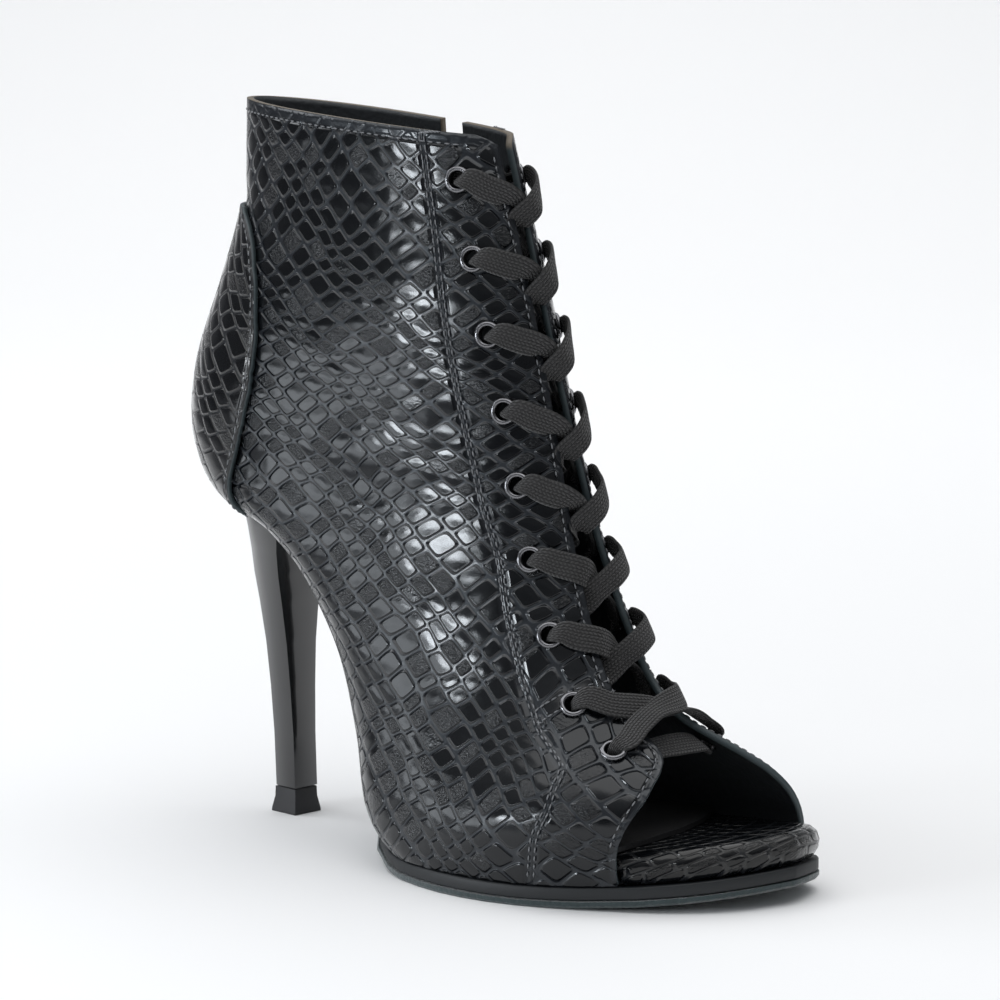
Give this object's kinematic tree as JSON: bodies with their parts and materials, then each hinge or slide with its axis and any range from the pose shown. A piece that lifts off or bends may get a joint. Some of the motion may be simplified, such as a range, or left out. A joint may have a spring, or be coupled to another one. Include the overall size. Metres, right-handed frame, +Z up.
{
  "type": "ankle boot",
  "caption": "Ankle boot, open at the toe, laced up the front through metal eyelets, on a tall slim heel and a low platform, in embossed black leather.",
  "frame": {"origin": "on the floor, under the middle of the boot's length and width", "axes": "+X towards the toe, +Y towards the inner (medial) side, +Z up"},
  "size_m": [0.2252, 0.087, 0.2227],
  "materials": {
    "embossed_leather": "glossy black leather embossed with reptile scales",
    "sock_lining": "soft matt black lining leather",
    "suede_sole": "dark grey-green suede, raw edge",
    "midsole_edge": "smooth painted edge, satin",
    "heel_lacquer": "high gloss black lacquer",
    "heel_tip_rubber": "matt black top piece",
    "eyelet_metal": "gunmetal, polished",
    "lace_braid": "flat braided lace, dark grey"
  },
  "bodies": {
    "root": {"upper": "embossed_leather", "heel_counter": "embossed_leather", "insole": "sock_lining", "covered_platform": "embossed_leather", "midsole": "midsole_edge", "outsole": "suede_sole", "heel": "heel_lacquer", "heel_tip": "heel_tip_rubber", "eyelet_outer_1": "eyelet_metal", "eyelet_inner_1": "eyelet_metal", "eyelet_outer_2": "eyelet_metal", "eyelet_inner_2": "eyelet_metal", "eyelet_outer_3": "eyelet_metal", "eyelet_inner_3": "eyelet_metal", "eyelet_outer_4": "eyelet_metal", "eyelet_inner_4": "eyelet_metal", "eyelet_outer_5": "eyelet_metal", "eyelet_inner_5": "eyelet_metal", "eyelet_outer_6": "eyelet_metal", "eyelet_inner_6": "eyelet_metal", "eyelet_outer_7": "eyelet_metal", "eyelet_inner_7": "eyelet_metal", "eyelet_outer_8": "eyelet_metal", "eyelet_inner_8": "eyelet_metal", "eyelet_outer_9": "eyelet_metal", "eyelet_inner_9": "eyelet_metal", "lace_cross_1": "lace_braid", "lace_cross_2": "lace_braid", "lace_cross_3": "lace_braid", "lace_cross_4": "lace_braid", "lace_cross_5": "lace_braid", "lace_cross_6": "lace_braid", "lace_cross_7": "lace_braid", "lace_cross_8": "lace_braid", "lace_bar": "lace_braid"}
  },
  "joints": []
}
